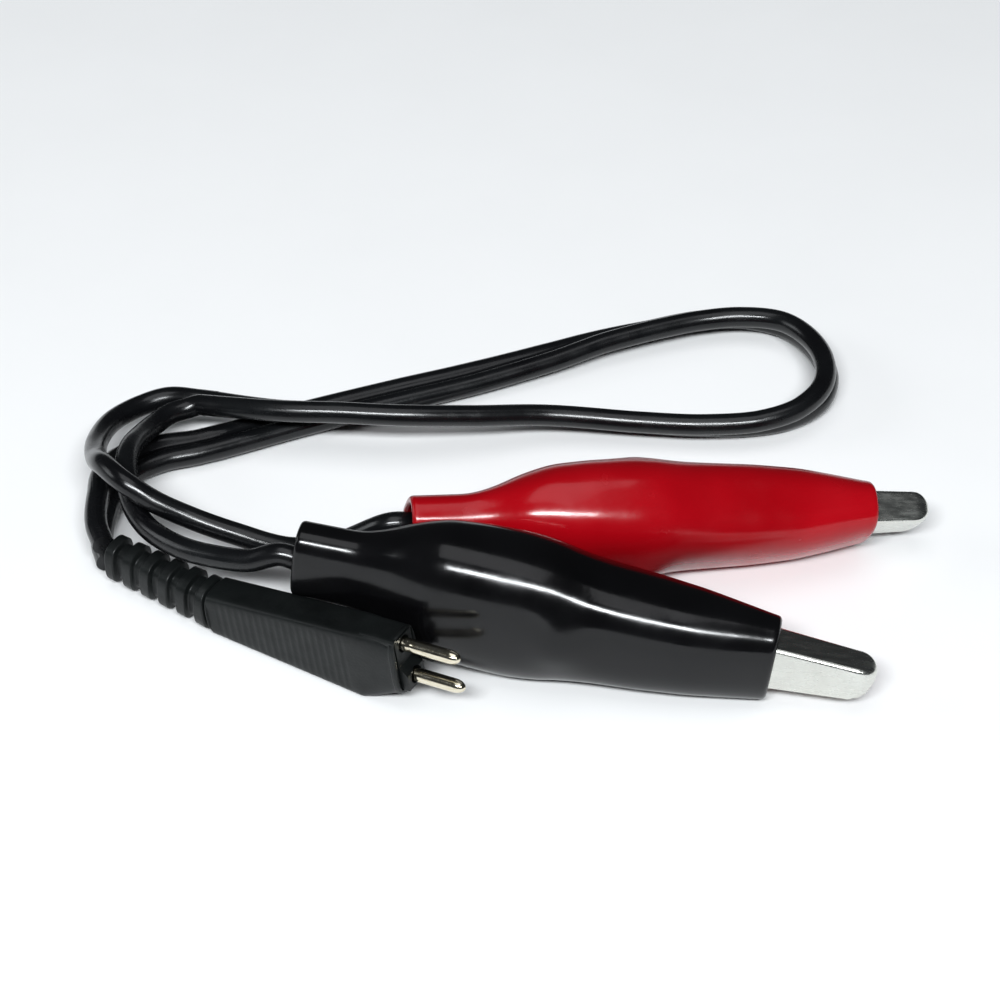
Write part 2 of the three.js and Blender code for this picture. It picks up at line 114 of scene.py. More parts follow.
def evenCurve(points, count):
    # centripetal Catmull-Rom through the listed points: each span is a cubic whose end slopes weigh the
    # neighbouring chords by the square roots of their lengths; then spaced evenly along its length.
    place = np.asarray(points, float)[:, :3]
    ends = np.vstack([2 * place[0] - place[1], place, 2 * place[-1] - place[-2]])
    root = np.sqrt(np.linalg.norm(np.diff(ends, axis=0), axis=1))[:, None]
    before, own, after = root[:-2], root[1:-1], root[2:]
    p0, p1, p2, p3 = ends[:-3], ends[1:-2], ends[2:-1], ends[3:]
    slopeIn = ((p1 - p0) / before - (p2 - p0) / (before + own) + (p2 - p1) / own) * own
    slopeOut = ((p2 - p1) / own - (p3 - p1) / (own + after) + (p3 - p2) / after) * own
    t = np.linspace(0, 1, 40, endpoint=False)[None, :, None]
    p1, p2, slopeIn, slopeOut = (a[:, None, :] for a in (p1, p2, slopeIn, slopeOut))
    line = (p1 * (2 * t**3 - 3 * t**2 + 1) + slopeIn * (t**3 - 2 * t**2 + t)
            + p2 * (3 * t**2 - 2 * t**3) + slopeOut * (t**3 - t**2))
    line = np.vstack([line.reshape(-1, 3), place[-1]])
    knot = np.append((np.arange(len(place) - 1)[:, None] + t[0, :, 0]).ravel(), len(place) - 1)
    run = np.concatenate([[0], np.cumsum(np.linalg.norm(np.diff(line, axis=0), axis=1))])
    even = np.linspace(0, run[-1], count)
    path = np.column_stack([np.interp(even, run, line[:, k]) for k in range(3)])
    return path, np.interp(even, run, knot), even


def turnAbout(vectors, axes, angles):
    # Rodrigues: v cos a + (k x v) sin a + k (k.v)(1 - cos a), row by row
    c, s = np.cos(angles)[:, None], np.sin(angles)[:, None]
    dot = np.sum(axes * vectors, axis=1)[:, None]
    return vectors * c + np.cross(axes, vectors) * s + axes * dot * (1 - c)


def crossAxes(path, lean):
    # the directions a section is drawn in at each point: level and across the run, tipped by lean about it
    tangent = np.gradient(path, axis=0)
    tangent /= np.linalg.norm(tangent, axis=1)[:, None]
    level = np.cross([0, 0, 1.0], tangent)
    level /= np.linalg.norm(level, axis=1)[:, None]
    wide = turnAbout(level, tangent, lean)
    return tangent, wide, np.cross(tangent, wide)


def sweep(name, path, lean, section, run):
    # a closed section carried along a path: point = path + wide * x + thick * y, section[around] = (x, y)
    _, wide, thick = crossAxes(path, lean)
    grid = (path[:, None, :] + wide[:, None, :] * section[None, :, :1]
            + thick[:, None, :] * section[None, :, 1:])
    girth = np.concatenate([[0], np.cumsum(np.linalg.norm(np.diff(section, axis=0), axis=1))])
    uv = np.stack(np.broadcast_arrays(girth[None, :], run[:, None]), axis=-1) / mm
    return gridMesh(name, grid, uv=uv)


def smoothTable(table, at, blur):
    # a table of rows [place, a, b, ...] read at any place: straight between rows, then averaged over a
    # short window so that the corners at the rows become gentle curves
    rows = np.asarray(table, float)
    offsets = np.linspace(-blur, blur, 9)
    weights = np.cos(offsets / blur * math.pi / 2) + 0.02
    weights /= weights.sum()
    spots = np.clip(np.asarray(at)[:, None] + offsets[None, :], rows[0, 0], rows[-1, 0])
    return np.stack([np.interp(spots, rows[:, 0], rows[:, k]) @ weights for k in range(1, rows.shape[1])])


def smoothStep(low, high, value):
    t = np.clip((value - low) / (high - low), 0, 1)
    return t * t * (3 - 2 * t)


def squareRound(angle, halfY, halfZ, power):
    # superellipse: y = halfY sgn(cos a)|cos a|^(2/power), and z the same with sin; power 2 is an ellipse
    c, s = np.cos(angle), np.sin(angle)
    y = halfY * np.sign(c) * np.abs(c) ** (2 / power)
    z = halfZ * np.sign(s) * np.abs(s) ** (2 / power)
    return y, z


def placedAt(origin, roll, dip, heading):
    # rotation matrix: roll about X, then dip about Y, then heading about Z, as the CAD groups are turned
    r, d, h = (math.radians(a) for a in (roll, dip, heading))
    rollTurn = np.array([[1, 0, 0], [0, math.cos(r), -math.sin(r)], [0, math.sin(r), math.cos(r)]])
    dipTurn = np.array([[math.cos(d), 0, math.sin(d)], [0, 1, 0], [-math.sin(d), 0, math.cos(d)]])
    headTurn = np.array([[math.cos(h), -math.sin(h), 0], [math.sin(h), math.cos(h), 0], [0, 0, 1]])
    turn = headTurn @ dipTurn @ rollTurn
    return lambda points: points @ turn.T + np.array(origin) * mm


view = {
    "target": (-0.011, 0.017, 0.0),
    "elevation": 41.0,       # degrees above the table
    "distance": 0.270,
    "angle": 21.0,           # degrees across the frame
}


def addCamera():
    lens = bpy.data.cameras.new("camera")
    lens.sensor_width = 36.0
    lens.lens = 18.0 / math.tan(math.radians(view["angle"] / 2))
    lens.clip_start = 0.01
    lens.clip_end = 20.0
    camera = bpy.data.objects.new("camera", lens)
    tilt = math.radians(view["elevation"])
    x, y, z = view["target"]
    camera.location = (x, y - view["distance"] * math.cos(tilt), z + view["distance"] * math.sin(tilt))
    camera.rotation_euler = (math.pi / 2 - tilt, 0, 0)
    bpy.context.scene.collection.objects.link(camera)
    bpy.context.scene.camera = camera

addCamera()
print("camera placed")


cordMake = {
    "coreRadius": 1.1 * mm,
    "corePitch": 2.3 * mm,   # between the twin cord's two core centres
    "webHalf": 0.6 * mm,     # half the thickness where the cores join
    "sectionPoints": 72,
    "coreSides": 40,
    "twinRings": 620,
    "leadRings": 300,
    "insideTwin": 0.8 * mm,  # each core starts this far back inside the twin's end
}

# the twin cord from the plug to the split, in mm: x, y, z, and the lean of its flat side in degrees
twinRoute = [
    [-49.05, 6.25, 2.5, 86],
    [-50.0, 9.2, 2.6, 82],
    [-50.1, 13.7, 2.6, 70],
    [-49.7, 17.4, 2.3, 45],
    [-48.2, 20.4, 1.9, 22],
    [-45.4, 22.4, 1.6, 6],
    [-41.5, 23.7, 1.4, -4],
    [-31.6, 28.0, 1.4, -4],
    [-21.4, 32.0, 1.4, -4],
    [-13.9, 34.8, 1.4, -6],
    [-5.8, 38.1, 1.6, -16],
    [-0.4, 40.5, 1.8, -30],
    [5.0, 42.4, 1.9, -38],
    [10.4, 44.0, 2.0, -38],
    [15.3, 44.3, 2.1, -42],
    [19.4, 42.9, 2.2, -54],
    [22.0, 39.5, 2.3, -65],
    [23.1, 35.0, 2.4, -75],
    [22.1, 30.8, 2.4, -95],
    [19.1, 27.8, 2.3, -118],
    [15.1, 26.5, 2.1, -130],
    [9.4, 26.3, 2.0, -137],
    [3.3, 26.8, 2.0, -139],
    [-6.0, 27.2, 2.6, -141],
    [-13.8, 25.6, 3.8, -140],
    [-21.1, 24.5, 4.8, -140],
    [-27.2, 24.7, 5.0, -140],
    [-33.4, 25.4, 4.7, -142],
    [-37.5, 26.6, 4.2, -147],
    [-41.2, 28.0, 3.6, -154],
]

# each core on its own, from the split to its boot's tail
redLeadRoute = [
    [-44.9, 28.9, 3.6],
    [-47.8, 27.6, 3.5],
    [-50.2, 24.6, 4.0],
    [-51.1, 19.8, 5.3],
    [-50.5, 15.3, 7.0],
    [-49.1, 11.7, 9.0],
    [-47.0, 9.2, 9.1],
    [-44.2, 8.1, 7.6],
    [-40.7, 7.5, 6.0],
    [-36.5, 6.4, 5.0],
    [-31.1, 4.8, 4.5],
    [-26.7, 4.2, 5.6],
]
blackLeadRoute = [
    [-42.8, 26.9, 3.8],
    [-44.4, 26.1, 3.8],
    [-45.8, 24.2, 4.0],
    [-46.8, 21.4, 4.9],
    [-47.5, 17.9, 6.2],
    [-47.6, 15.3, 6.7],
    [-47.3, 12.7, 6.6],
    [-46.4, 9.4, 5.9],
    [-44.4, 5.7, 6.1],
    [-41.2, 2.5, 6.7],
    [-38.0, 0.6, 7.3],
    [-34.3, -0.9, 8.1],
]

clipPlaces = {
    "black": placedAt((-4.9, -6.5, 6.5), -3, 5.9, -11.2),
    "red": placedAt((2.1, 6.6, 6.8), 34, 5.8, 8.6),
}
bootMouth = {"red": 22.8, "black": 19.4}  # each boot's front edge ahead of the pivot, mm
bootLength = 45.0
wireEnd = [-17.0, 0, -0.75]  # where the insulation stops at the crimp, in the clip's own frame, mm


def twinSection():
    # figure of eight: x = reach cos a; the half thickness is the core's circle, never less than the web,
    # joined by a power mean so that the valley between the cores is filleted
    r, p, web = cordMake["coreRadius"], cordMake["corePitch"], cordMake["webHalf"]
    angle = np.linspace(0, 2 * math.pi, cordMake["sectionPoints"], endpoint=False)
    x = (p / 2 + r) * np.cos(angle)
    circle = np.sqrt(np.clip(r**2 - (np.abs(x) - p / 2) ** 2, 0, None))
    valley = (circle**10 + web**10) ** 0.1
    half = np.where(np.abs(x) < p / 2, valley, circle)
    return np.column_stack([x, half * np.sign(np.sin(angle))])


def coreSection():
    angle = np.linspace(0, 2 * math.pi, cordMake["coreSides"], endpoint=False)
    return cordMake["coreRadius"] * np.column_stack([np.cos(angle), np.sin(angle)])


def makeTwin():
    path, knot, run = evenCurve(np.array(twinRoute)[:, :3] * mm, cordMake["twinRings"])
    leans = np.radians(np.array(twinRoute)[:, 3])
    lean = np.interp(knot, np.arange(len(leans)), leans)
    return sweep("twinCordLine", path, lean, twinSection(), run), path, lean, run[-1]


def makeLead(name, colour, route, side, straightOut):
    # the core leaves its own half of the figure of eight, then follows its route into the boot's tail
    tangent, wide, _ = crossAxes(twinPath, twinLean)
    start = twinPath[-1] + wide[-1] * side * cordMake["corePitch"] / 2
    start = start - tangent[-1] * cordMake["insideTwin"]
    ahead = start + tangent[-1] * (cordMake["insideTwin"] + straightOut * mm)
    tail = bootMouth[colour] - bootLength
    inside = np.array([[tail - 1.5, 0, -0.1], [tail + 1.2, 0, -0.5], wireEnd]) * mm
    points = np.vstack([start, ahead, np.array(route) * mm, clipPlaces[colour](inside)])
    path, _, run = evenCurve(points, cordMake["leadRings"])
    return sweep(name, path, np.zeros(len(path)), coreSection(), run), path, run[-1]


twin, twinPath, twinLean, twinLength = makeTwin()
wideEnd = crossAxes(twinPath, twinLean)[1][-1]
redSide = 1.0 if wideEnd @ np.array([-0.5, 1.0, 0]) > 0 else -1.0
redLead, redPath, redLength = makeLead("redLeadCore", "red", redLeadRoute, redSide, 1.3)
blackLead, blackPath, blackLength = makeLead("blackLeadCore", "black", blackLeadRoute, -redSide, 0.0)
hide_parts("twin_cord")
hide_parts("red_clip_lead")
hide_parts("black_clip_lead")
print("cords laid: twin %.1f mm, red %.1f mm, black %.1f mm" % tuple(
    length / mm for length in (twinLength, redLength, blackLength)))


bootMake = {
    "wall": 0.8,             # mm
    "around": 96,
    "along": 170,
    "pivotBump": 0.6,        # how far the rivet's heads push the sides out, mm
    "bumpReach": 2.4,        # how wide that bump is, mm
    "rowBlur": 0.035,        # share of the length over which the sections are smoothed
    "blendFrom": 0.0,        # a place along blendWay, mm; makeBoot turns it into the clip's frame and uses it no further
    "blendTo": 8.0,
    "blendWay": (0.186, 0.0, 1.0),
}

# share of the length from the tail, half width, half height (mm), squareness
bootSections = [
    [0.00, 2.30, 3.80, 2.6],
    [0.13, 2.35, 3.90, 2.6],
    [0.18, 2.95, 4.70, 2.5],
    [0.24, 4.10, 6.00, 2.4],
    [0.30, 4.90, 6.80, 2.4],
    [0.38, 5.20, 7.00, 2.5],
    [0.47, 5.30, 7.00, 2.6],
    [0.53, 5.15, 6.70, 2.6],
    [0.58, 4.95, 6.10, 2.6],
    [0.64, 4.80, 5.60, 2.7],
    [0.74, 4.60, 5.25, 2.7],
    [0.84, 4.20, 4.90, 2.6],
    [0.92, 3.50, 4.60, 2.5],
    [1.00, 2.65, 4.20, 2.6],
]


def makeBoot(colour):
    # a hollow sleeve: the wall's outline runs out along the outside, round the lip, back inside and round
    # the tail's lip. Each of its points becomes a squared ring, inset from the boot's outer section, and a
    # bell curve, exp of minus the squared distance from the rivet, pushes the sides out there.
    wall, mouth = bootMake["wall"], bootMouth[colour]
    tail = mouth - bootLength
    lip = wall / 2
    outer = np.linspace(tail + lip, mouth - lip, bootMake["along"])
    inner = np.linspace(mouth - lip, tail + lip, bootMake["along"] // 2)
    bend = np.linspace(0, math.pi, 8)[1:-1]
    x = np.concatenate([outer, mouth - lip + lip * np.sin(bend), inner, tail + lip - lip * np.sin(bend)])
    inset = np.concatenate([np.zeros(len(outer)), lip - lip * np.cos(bend),
                            np.full(len(inner), wall), lip + lip * np.cos(bend)])
    halfY, halfZ, power = smoothTable(bootSections, (x - tail) / bootLength, bootMake["rowBlur"])
    angle = np.linspace(0, 2 * math.pi, bootMake["around"], endpoint=False)[None, :]
    y, z = squareRound(angle, (halfY - inset)[:, None], (halfZ - inset)[:, None], power[:, None])
    xs = np.broadcast_to(x[:, None], y.shape)
    bump = bootMake["pivotBump"] * np.exp(-(xs**2 + z**2) / bootMake["bumpReach"]**2)
    grid = np.stack([xs, y + np.sign(y) * bump, z], axis=-1) * mm
    place = clipPlaces[colour]
    placed = place(grid.reshape(-1, 3)).reshape(grid.shape)
    boot = gridMesh(colour + "BootSleeve", placed, closedAlong=True)
    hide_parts(colour + "_boot")
    way = np.array(bootMake["blendWay"])
    way = way / (way @ way)
    ends = np.array([way * bootMake["blendFrom"], way * bootMake["blendTo"]]) * mm
    start, end = place(ends)
    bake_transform(boot)
    return boot


boots = {colour: makeBoot(colour) for colour in ("red", "black")}
print("boots drawn")

# the smooth folded nose of each moving jaw: its cheeks reach down outside the fixed jaw's
noseMake = {
    "rear": 13.0,            # mm ahead of the pivot
    "tipCentre": 27.2,       # where the round tip begins
    "sheet": 0.2,
    "clear": 0.06,           # between the cheeks and the fixed jaw
    "tipHalf": 1.3,          # half width of the jaw inside it, there
    "straightStations": 60,
    "fillet": 0.45,
    "tipDrop": 0.75,         # how far the top rolls down at the tip
    "frontFrom": 26.8,       # where the slanted front edge leaves the cheeks' lower edge
    "frontHeight": 0.15,     # where that edge ends at the tip, above the bite line
    "bared": 0.08,           # how much of the fixed jaw shows below the cheeks
    "rowBlur": 0.6,          # mm over which the sections are smoothed
}
# place, half width and height of the jaw inside it
noseSections = [
    [13.0, 2.02, 2.68],
    [15.0, 1.85, 2.54],
    [19.6, 1.50, 2.20],
    [26.6, 1.33, 1.70],
    [29.0, 1.30, 1.53],
]


def noseFace(out):
    # U-shaped sections that stand out from the jaw by out: the plan's half width follows the jaw, then a
    # half circle closes the tip, and the top rolls down there as a quarter ellipse
    centre, straightCount = noseMake["tipCentre"], noseMake["straightStations"]
    radius = noseMake["tipHalf"] + out
    bend = np.linspace(0, math.pi / 2 - 0.01, 40)[1:]
    straight = np.linspace(noseMake["rear"], centre, straightCount)
    x = np.concatenate([straight, centre + radius * np.sin(bend)])
    half, back = smoothTable(noseSections, x, noseMake["rowBlur"])
    width = np.concatenate([half[:straightCount] + out, radius * np.cos(bend)])
    roll = np.clip((x - centre) / radius, 0, 1)
    top = back + out - noseMake["tipDrop"] * (1 - np.sqrt(1 - roll**2))
    front = noseMake["frontFrom"]
    rise = np.clip((x - front) / (centre + radius - front), 0, 1)
    bottom = (noseMake["bared"] - back) * (1 - rise) + noseMake["frontHeight"] * rise
    fillet = np.minimum(noseMake["fillet"], 0.8 * width)
    down = np.linspace(0, 1, 14)[None, :-1]
    turn = np.linspace(math.pi, math.pi / 2, 9)[None, :]
    width, top, bottom, fillet = (a[:, None] for a in (width, top, bottom, fillet))
    cheekZ = bottom + down * (top - fillet - bottom)
    leftY = np.hstack([-width + 0 * cheekZ, -width + fillet + fillet * np.cos(turn)])
    leftZ = np.hstack([cheekZ, top - fillet + fillet * np.sin(turn)])
    y = np.hstack([leftY, (fillet - width) * np.array([[0.6, 0.2, -0.2, -0.6]]), -leftY[:, ::-1]])
    z = np.hstack([leftZ, np.repeat(top, 4, axis=1), leftZ[:, ::-1]])
    return np.stack([np.broadcast_to(x[:, None], y.shape), y, z], axis=-1) * mm


def makeNose(colour):
    place = clipPlaces[colour]
    clear, sheet = noseMake["clear"], noseMake["sheet"]
    faces = [noseFace(out) for out in (clear + sheet, clear)]
    outer, inner = (place(face.reshape(-1, 3)).reshape(face.shape) for face in faces)
    nose = sheetMesh(colour + "NosePlate", outer, inner)
    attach(nose, colour + "_jaw")
    return nose


noses = {colour: makeNose(colour) for colour in ("red", "black")}
print("noses folded")

springMake = {
    "wire": 0.4,             # mm, the wire's radius
    "coil": 1.9,             # mean radius of the coil, round the rivet
    "turns": 2.5,
    "halfWidth": 1.1,
    "legBend": (-4.5, 2.8),  # where each leg leaves the coil's run: ahead of the pivot, above or below it
    "legReach": -8.2,
    "legHeight": 3.45,
    "windFrom": -1.8,        # two heights on the rivet's line, mm; makeSpring turns them into the clip's frame and uses them no further
    "windTo": 1.8,
}


def makeSpring(colour):
    # one wire: a leg, a helix whose angle falls from the top as it crosses the clip, and the other leg.
    # The section is a circle, drawn across the clip and at right angles to the run.
    radius, half = springMake["coil"], springMake["halfWidth"]
    reach, height = springMake["legReach"], springMake["legHeight"]
    share = np.linspace(0, 1, 100)
    angle = math.pi / 2 - 2 * math.pi * springMake["turns"] * share
    helix = np.column_stack([radius * np.cos(angle), half * (2 * share - 1), radius * np.sin(angle)])
    bendAt, bendHeight = springMake["legBend"]
    upperLeg = [[reach, -half, height], [bendAt, -half, bendHeight]]
    lowerLeg = [[bendAt, half, -bendHeight], [reach, half, -height]]
    path, _, _ = evenCurve(np.vstack([upperLeg, helix, lowerLeg]), 420)
    tangent = np.gradient(path, axis=0)
    tangent /= np.linalg.norm(tangent, axis=1)[:, None]
    wide = np.array([0, 1.0, 0]) - tangent * tangent[:, 1:2]
    wide /= np.linalg.norm(wide, axis=1)[:, None]
    thick = np.cross(tangent, wide)
    around = np.linspace(0, 2 * math.pi, 18, endpoint=False)[None, :, None]
    spread = wide[:, None, :] * np.cos(around) + thick[:, None, :] * np.sin(around)
    grid = (path[:, None, :] + spread * springMake["wire"]) * mm
    place = clipPlaces[colour]
    spring = gridMesh(colour + "Spring", place(grid.reshape(-1, 3)).reshape(grid.shape))
    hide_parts(colour + "_torsion_spring")
    ends = place(np.array([[0, 0, springMake["windFrom"]], [0, 0, springMake["windTo"]]]) * mm)
    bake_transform(spring)
    return spring


springs = {colour: makeSpring(colour) for colour in ("red", "black")}
print("springs wound")


# along the body: place, middle height against the pins' centre line, half height, half thickness (mm) and
# squareness
plugSections = [
    [-0.4, -0.20, 2.26, 1.90, 5.0],
    [0.0, -0.20, 2.30, 1.95, 6.0],
    [16.5, -1.05, 3.80, 1.95, 9.0],
    [18.0, -0.80, 3.62, 1.93, 6.0],
    [20.3, -0.36, 3.24, 1.86, 3.6],
    [21.0, -0.25, 3.15, 1.85, 3.4],
]
plugRear, plugShoulder = plugSections[1], plugSections[2]
# the body lies on its long bottom edge, which tips the pins' centre line up by this many degrees
plugFall = (plugRear[1] - plugRear[2]) - (plugShoulder[1] - plugShoulder[2])
plugTip = math.degrees(math.atan(plugFall / plugShoulder[0]))

plugMake = {
    "length": 21.0,          # mm, the body from its rear to the pins' face
    "reliefLength": 13.0,
    "reliefRibs": 6,
    "reliefBend": 1.5,       # degrees that the relief swings out of line with the body
    "reliefRise": 1.6,       # degrees that it rises off the table
    "reliefHalf": (2.1, 2.3),       # half width and height where it leaves the body, mm
    "reliefTaper": (0.45, 0.1),     # what those lose by its end
    "reliefGroove": (0.5, 0.45),    # depth of the grooves between its ribs
    "reliefSquareness": 3.2,
    "reliefEndRound": 0.25,
    "gripPitch": 0.78,       # fine ribs across the body's sides
    "gripHeight": 0.025,
    "pocketHalf": (1.55, 2.9),
    "pocketDepth": 3.75,
    "pocketSquareness": 12.0,
    "rimHeight": 0.11,       # the rim just behind the pins' face
    "edgeRound": 0.07,
    "rowBlur": 0.25,         # mm over which the sections are smoothed
    "around": 112,
}
plugPlaced = placedAt((-37.5, -0.8, 2.55), 0, -plugTip, -30)


def ringsOfBody():
    # stations along the body; the sides carry fine rounded ribs, a raised sine of the place cut off below
    # zero, and a thin rim stands proud just behind the pins' face
    ribbed = np.linspace(0.02, 16.2, 230)
    bevelled = np.linspace(16.3, 20.35, 30)
    rimmed = np.linspace(20.42, 20.97, 9)
    x = np.concatenate([ribbed, bevelled, rimmed])
    middle, halfZ, halfY, power = smoothTable(plugSections, x, plugMake["rowBlur"])
    rim = plugMake["rimHeight"] * smoothStep(20.38, 20.5, x)
    edge = plugMake["edgeRound"] * smoothStep(20.8, 20.97, x)
    halfY, halfZ = halfY + rim - edge, halfZ + rim - edge
    angle = np.linspace(0, 2 * math.pi, plugMake["around"], endpoint=False)[None, :]
    y, z = squareRound(angle, halfY[:, None], halfZ[:, None], power[:, None])
    wave = np.clip(np.sin(2 * math.pi * x / plugMake["gripPitch"]) * 0.6 + 0.4, 0, 1)
    reach = smoothStep(0.7, 1.3, x) * smoothStep(16.0, 15.2, x)
    clearOfEdges = smoothStep(0.9, 0.72, np.abs(z) / halfZ[:, None])
    onSide = clearOfEdges * smoothStep(0.6, 0.9, np.abs(y) / halfY[:, None])
    cut = plugMake["gripHeight"] * ((1 - wave) * reach)[:, None] * onSide
    y = y - np.sign(y) * cut
    return np.stack([np.broadcast_to(x[:, None], y.shape), y, z + middle[:, None]], axis=-1)


def ringsOfPocket(last):
    # from the body's front edge in to the pocket's mouth, down its walls and across its floor
    angle = np.linspace(0, 2 * math.pi, plugMake["around"], endpoint=False)
    halfY, halfZ = plugMake["pocketHalf"]
    y, z = squareRound(angle, halfY, halfZ, plugMake["pocketSquareness"])
    mouth = np.stack([np.full(len(y), plugMake["length"]), y, z], axis=-1)
    shares = np.array([0.12, 0.5, 0.93, 1.0])[:, None, None]
    front = last * (1 - shares) + mouth * shares
    front[:, :, 0] = plugMake["length"]
    depths = plugMake["pocketDepth"] * np.array([0.04, 0.4, 1.0])[:, None, None]
    walls = np.repeat(mouth[None], 3, axis=0) - depths * np.array([1.0, 0, 0])
    floor = walls[-1:] * np.array([1.0, 0.4, 0.4])
    return np.concatenate([front, walls, floor])


def ringsOfRelief():
    # a tapering sleeve with rounded ribs: the groove depth follows a flattened cosine of the place, and
    # the relief is swung in line with the cord, by an angle that eases in over its first 1.5 mm
    x = np.linspace(-12.6, -0.05, 190)
    share = -x / plugMake["reliefLength"]
    phase = (-x - 0.5) / (plugMake["reliefLength"] / plugMake["reliefRibs"])
    groove = smoothStep(-0.15, 0.55, -np.cos(2 * math.pi * (phase - 0.28))) * smoothStep(0.1, 0.5, -x)
    full, taper, depth = (plugMake[key] for key in ("reliefHalf", "reliefTaper", "reliefGroove"))
    halfY = full[0] - taper[0] * share - depth[0] * groove
    halfZ = full[1] - taper[1] * share - depth[1] * groove
    endRound = plugMake["reliefEndRound"] * smoothStep(-12.3, -12.6, x)
    angle = np.linspace(0, 2 * math.pi, plugMake["around"], endpoint=False)[None, :]
    y, z = squareRound(angle, (halfY - endRound)[:, None], (halfZ - endRound)[:, None],
                       plugMake["reliefSquareness"])
    swing = smoothStep(0, 1.5, -x)
    dip = np.radians(plugTip + plugMake["reliefRise"]) * swing[:, None]
    bend = np.radians(-plugMake["reliefBend"]) * swing[:, None]
    xs = np.broadcast_to(x[:, None], y.shape)
    dipped = xs * np.cos(dip) + z * np.sin(dip)
    raised = -xs * np.sin(dip) + z * np.cos(dip)
    return np.stack([dipped * np.cos(bend) - y * np.sin(bend),
                     dipped * np.sin(bend) + y * np.cos(bend), raised + plugRear[1]], axis=-1)


def makePlugBody():
    body = ringsOfBody()
    grid = np.concatenate([ringsOfRelief(), body, ringsOfPocket(body[-1])]) * mm
    piece = gridMesh("plugMoulding", plugPlaced(grid.reshape(-1, 3)).reshape(grid.shape))
    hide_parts("plug_overmould")
    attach(piece, "lead")
    return piece


pinMake = {
    "start": 18.0,           # mm ahead of the plug's rear
    "tip": 27.0,
    "radius": 0.66,
    "nose": 1.15,            # length of the rounded end
    "ring": 21.9,            # a shallow turned ring near the root
    "ringDepth": 0.05,
    "spacing": 3.4,
}


def makePin(name, height, node):
    # turned about its own line: the radius is steady, then falls to nothing at the tip as a quarter
    # ellipse, less a narrow bell curve for the turned ring
    start, tip, radius, nose = (pinMake[key] for key in ("start", "tip", "radius", "nose"))
    body = np.linspace(start, tip - nose, 40)
    curve = np.linspace(0, math.pi / 2, 18)[1:-1]
    x = np.concatenate([body, tip - nose + nose * np.sin(curve)])
    r = np.concatenate([np.full(len(body), radius), radius * np.cos(curve)])
    r = r - pinMake["ringDepth"] * np.exp(-((x - pinMake["ring"]) / 0.12) ** 2)
    angle = np.linspace(0, 2 * math.pi, 48, endpoint=False)[None, :]
    grid = np.stack([np.broadcast_to(x[:, None], (len(x), 48)), r[:, None] * np.cos(angle),
                     height + r[:, None] * np.sin(angle)], axis=-1) * mm
    uv = np.stack(np.broadcast_arrays(angle * radius, x[:, None]), axis=-1)
    pin = gridMesh(name, plugPlaced(grid.reshape(-1, 3)).reshape(grid.shape), uv=uv)
    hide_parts(node)
    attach(pin, "lead")
    return pin


plugBody = makePlugBody()
upperPin = makePin("upperPin", pinMake["spacing"] / 2, "plug_pin_upper")
lowerPin = makePin("lowerPin", -pinMake["spacing"] / 2, "plug_pin_lower")
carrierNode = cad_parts["plug_pin_carrier"]
print("plug drawn")


for piece in (twin, redLead, blackLead):
    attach(piece, "lead")


def newMaterial(name, base, roughness, metallic=0.0, coat=0.0, coatRoughness=0.05, ior=1.5):
    material = bpy.data.materials.new(name)
    material.use_nodes = True
    tree = material.node_tree
    shader = tree.nodes["Principled BSDF"]
    shader.inputs["Base Color"].default_value = (*base, 1)
    shader.inputs["Roughness"].default_value = roughness
    shader.inputs["Metallic"].default_value = metallic
    shader.inputs["Coat Weight"].default_value = coat
    shader.inputs["Coat Roughness"].default_value = coatRoughness
    shader.inputs["IOR"].default_value = ior
    return material, tree, shader


def addNoise(tree, scale, detail=3.0, stretch=(1, 1, 1), useUv=False, roughness=0.5):
    # fractal noise on Object coordinates in metres, or on the piece's own UVs in millimetres
    if useUv:
        source = tree.nodes.new("ShaderNodeUVMap")
        source.uv_map = "along"
        output = source.outputs["UV"]
    else:
        source = tree.nodes.new("ShaderNodeTexCoord")
        output = source.outputs["Object"]
    mapping = tree.nodes.new("ShaderNodeMapping")
    mapping.inputs["Scale"].default_value = stretch
    noise = tree.nodes.new("ShaderNodeTexNoise")
    noise.inputs["Scale"].default_value = scale
    noise.inputs["Detail"].default_value = detail
    noise.inputs["Roughness"].default_value = roughness
    tree.links.new(output, mapping.inputs["Vector"])
    tree.links.new(mapping.outputs["Vector"], noise.inputs["Vector"])
    return noise.outputs["Fac"]


def remap(tree, value, low, high, fromLow=0.3, fromHigh=0.7):
    # a straight-line change of range, clamped
    node = tree.nodes.new("ShaderNodeMapRange")
    node.inputs["From Min"].default_value = fromLow
    node.inputs["From Max"].default_value = fromHigh
    node.inputs["To Min"].default_value = low
    node.inputs["To Max"].default_value = high
    tree.links.new(value, node.inputs["Value"])
    return node.outputs["Result"]


def mixColours(tree, share, first, second):
    node = tree.nodes.new("ShaderNodeMix")
    node.data_type = "RGBA"
    node.inputs["A"].default_value = (*first, 1)
    node.inputs["B"].default_value = (*second, 1)
    tree.links.new(share, node.inputs["Factor"])
    return node.outputs["Result"]


def addBump(tree, shader, heights):
    # each height in turn is laid over the last: (value, strength, depth in metres)
    previous = None
    for value, strength, depth in heights:
        bump = tree.nodes.new("ShaderNodeBump")
        bump.inputs["Strength"].default_value = strength
        bump.inputs["Distance"].default_value = depth
        tree.links.new(value, bump.inputs["Height"])
        if previous is not None:
            tree.links.new(previous, bump.inputs["Normal"])
        previous = bump.outputs["Normal"]
    tree.links.new(previous, shader.inputs["Normal"])


